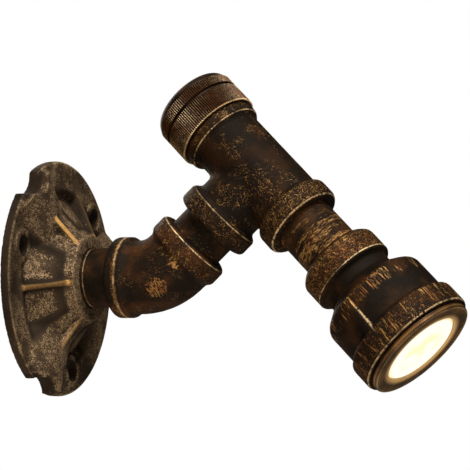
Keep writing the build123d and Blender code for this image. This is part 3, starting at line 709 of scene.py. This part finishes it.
def bezel_bronze():
    """Turned bronze ring with fine lathe lines, lit by the lens round its aperture."""
    finish = Finish("bezel_bronze", TEE, HEAD)
    radius, along = finish.radius, finish.along
    lathe = finish.node("ShaderNodeTexNoise", {"noise_dimensions": "1D"}, {
        "W": radius * 3.2 + along * 3.0, "Scale": 1.0, "Detail": 3.0})
    patch = finish.noise(scale=0.12).ramp(0.35, 0.65)
    face = along.ramp(BEZEL_FACE - 0.8, BEZEL_FACE - 0.4)
    spill = radius.ramp(APERTURE_R + 2.8, APERTURE_R + 0.4) * face
    glow = radius.ramp(APERTURE_R + 2.2, APERTURE_R + 0.1) * face
    rim = radius.line(BEZEL_RIM_R, 0.35) * face
    colour = finish.blend(patch, (0.036, 0.020, 0.009), (0.115, 0.060, 0.021))
    colour = finish.blend(lathe.ramp(0.50, 0.64) * (patch * 0.6 + 0.3), colour, (0.42, 0.24, 0.085))
    colour = finish.blend((rim * (patch * 0.6 + 0.2)).max(spill * 0.35), colour, CREAM)
    return finish.set(Base_Color=colour, Metallic=0.4, Roughness=0.40, Specular_IOR_Level=0.3,
                      Emission_Color=finish.blend(glow, UNLIT, (0.26, 0.14, 0.04)),
                      Emission_Strength=1.0, Normal=finish.bump(lathe, 0.4, 0.12))


def lit_lens():
    """Frosted lens, lit warm white, with the LED's faint yellow pattern showing through."""
    finish = Finish("lit_lens", TEE, HEAD)
    patch = finish.noise(scale=0.15, detail=2.0, shift=4.0).ramp(0.42, 0.60) * finish.radius.ramp(13.0, 5.0)
    colour = finish.blend(patch * 0.8, (1.0, 0.98, 0.86), (0.98, 0.87, 0.46))
    colour = finish.blend(finish.radius.ramp(LENS_EDGE_R - 1.8, LENS_EDGE_R), colour, (1.0, 0.74, 0.34))
    return finish.set(Base_Color=(0.20, 0.19, 0.17), Roughness=0.30, Emission_Color=colour,
                      Emission_Strength=1.0)


def plain(name, colour, metallic, roughness):
    """A simple finish with slight mottling and a fine surface texture."""
    finish = Finish(name)
    cloud = finish.noise(scale=0.3)
    tooth = finish.noise(scale=4.5, detail=2.0, shift=9.0)
    return finish.set(Base_Color=finish.blend(cloud.ramp(0.3, 0.7), scaled(colour, 0.84), colour),
                      Metallic=metallic, Roughness=tooth * 0.12 + (roughness - 0.06),
                      Normal=finish.bump(tooth, 0.3, 0.05))


dress("wall_nipple", nipple_bronze("wall_nipple_bronze", WALL, OUT, 0.15, [boss.ring(-0.8, -1.2, 5.7, 0.6)]))
dress("arm_nipple", nipple_bronze("arm_nipple_bronze", ELBOW, ARM, 0.55))
dress("head_nipple", nipple_bronze("head_nipple_bronze", TEE, HEAD, 1.15))
dress("end_cap", cap_bronze())
dress("bezel_ring", bezel_bronze())
dress("lens", lit_lens())

# Plain finishes: name, colour, metallic, roughness and the nodes that have them
PLAIN_FINISHES = [
    ("black_rubber", (0.012, 0.012, 0.012), 0.0, 0.7, ["cap_gasket", "lens_gasket"]),
    ("bright_reflector", (0.85, 0.85, 0.83), 1.0, 0.12, ["reflector"]),
    ("board_white", (0.8, 0.8, 0.78), 0.0, 0.4, ["led_board"]),
    ("phosphor", (0.9, 0.7, 0.12), 0.0, 0.4, ["led_emitter"]),
    ("spreader_aluminium", (0.65, 0.66, 0.67), 1.0, 0.35, ["heat_spreader"]),
    ("thermal_pad_grey", (0.30, 0.32, 0.35), 0.0, 0.8, ["thermal_pad"]),
    ("zinc_steel", (0.55, 0.55, 0.54), 1.0, 0.35, ["board_screws", "earth_screw"]),
    ("earth_brass", (0.62, 0.45, 0.18), 1.0, 0.32, ["earth_terminal"]),
    ("earth_insulation", (0.04, 0.22, 0.03), 0.0, 0.45, ["earth_wire"]),
    ("driver_white", (0.72, 0.72, 0.70), 0.0, 0.5, ["driver_case"]),
    ("circuit_green", (0.01, 0.12, 0.03), 0.0, 0.4, ["driver_board"]),
    ("black_sheath", (0.012, 0.012, 0.012), 0.0, 0.5, ["wall_lead", "arm_lead", "tee_lead", "led_lead"]),
    ("connector_nylon", (0.62, 0.58, 0.48), 0.0, 0.45, ["supply_connector"]),
]
for name, colour, metallic, roughness, nodes in PLAIN_FINISHES:
    finish = plain(name, colour, metallic, roughness)
    for node in nodes:
        dress(node, finish)


# ---------------------------------------------------------------- studio
WARM_WHITE = (1.0, 0.90, 0.78)
# Soft boxes: name, place and size in metres, watts and colour
SOFT_BOXES = [
    ("key", (-0.50, -0.30, 0.66), (0.35, 0.35), 9.0, WARM_WHITE),
    ("front", (-0.35, -0.85, 0.35), (0.4, 0.4), 3.0, (1.0, 0.92, 0.82)),
    ("low_left", (-0.7, -0.1, -0.35), (0.4, 0.3), 2.3, (1.0, 0.74, 0.48)),
    ("rear", (0.45, 0.65, 0.40), (0.7, 0.7), 5.0, WARM_WHITE),
]
LIGHTS_AIM = Vector((0.0, -0.07, 0.015))
ROOM_COLOUR = (1.0, 0.80, 0.62, 1.0)
ROOM_STRENGTH = 0.05
BACKDROP_COLOUR = (1.0, 1.0, 1.0, 1.0)
FLOOR_HEIGHT = -0.6
FLOOR_HALF = 2.0


def soft_box(name, place, size, power, colour):
    """A rectangular area light aimed at the middle of the wall light."""
    light = bpy.data.lights.new(name, "AREA")
    light.shape = "RECTANGLE"
    light.size, light.size_y = size
    light.energy = power
    light.color = colour
    lamp = bpy.data.objects.new(name, light)
    lamp.location = place
    lamp.rotation_euler = (LIGHTS_AIM - Vector(place)).to_track_quat("-Z", "Y").to_euler()
    scene.collection.objects.link(lamp)


def studio_room():
    """White to the camera, a dim warm room to the wall light."""
    world = bpy.data.worlds.new("studio_white")
    world.use_nodes = True
    tree = world.node_tree
    room = tree.nodes["Background"]
    room.inputs["Color"].default_value = ROOM_COLOUR
    room.inputs["Strength"].default_value = ROOM_STRENGTH
    backdrop = tree.nodes.new("ShaderNodeBackground")
    backdrop.inputs["Color"].default_value = BACKDROP_COLOUR
    ray = tree.nodes.new("ShaderNodeLightPath")
    choose = tree.nodes.new("ShaderNodeMixShader")
    tree.links.new(ray.outputs["Is Camera Ray"], choose.inputs[0])
    tree.links.new(room.outputs[0], choose.inputs[1])
    tree.links.new(backdrop.outputs[0], choose.inputs[2])
    tree.links.new(choose.outputs[0], tree.nodes["World Output"].inputs["Surface"])
    scene.world = world


def pale_floor():
    """A plain floor well below the wall light."""
    ground = bmesh.new()
    bmesh.ops.create_grid(ground, x_segments=1, y_segments=1, size=FLOOR_HALF,
                          matrix=Matrix.Translation((0, 0, FLOOR_HEIGHT)))
    mesh = bpy.data.meshes.new("floor")
    ground.to_mesh(mesh)
    ground.free()
    mesh.materials.append(plain("pale_floor", (0.85, 0.85, 0.84), 0.0, 0.7))
    floor = bpy.data.objects.new("floor", mesh)
    scene.collection.objects.link(floor)


# ---------------------------------------------------------------- camera
# Solved from the photo: angles in degrees, lengths in metres, the lens and its film in mm
VIEW_TURN = 22.08
VIEW_TILT = -11.39
VIEW_ROLL = 3.24
VIEW_AIM = Vector((0.0, -0.06961, 0.01464))
VIEW_RANGE = 0.85
VIEW_LENS = 184.9
VIEW_FILM = 36.0
VIEW_NEAR = 0.01


def camera():
    """The photo's camera, to the left of the wall light, a little in front of it and below."""
    turn, tilt, roll = map(math.radians, (VIEW_TURN, VIEW_TILT, VIEW_ROLL))
    back = Vector((-math.cos(turn) * math.cos(tilt), -math.sin(turn) * math.cos(tilt), math.sin(tilt)))
    level = Vector((math.sin(turn), -math.cos(turn), 0))
    above = back.cross(level)
    right = level * math.cos(roll) + above * math.sin(roll)
    up = above * math.cos(roll) - level * math.sin(roll)
    data = bpy.data.cameras.new("camera")
    data.lens = VIEW_LENS
    data.sensor_width = VIEW_FILM
    data.clip_start = VIEW_NEAR
    eye = bpy.data.objects.new("camera", data)
    place = Matrix((right, up, back)).transposed().to_4x4()
    place.translation = VIEW_AIM + back * VIEW_RANGE
    eye.matrix_world = place
    scene.collection.objects.link(eye)
    scene.camera = eye


studio_room()
for row in SOFT_BOXES:
    soft_box(*row)
pale_floor()
camera()
scene.view_settings.view_transform = "Standard"
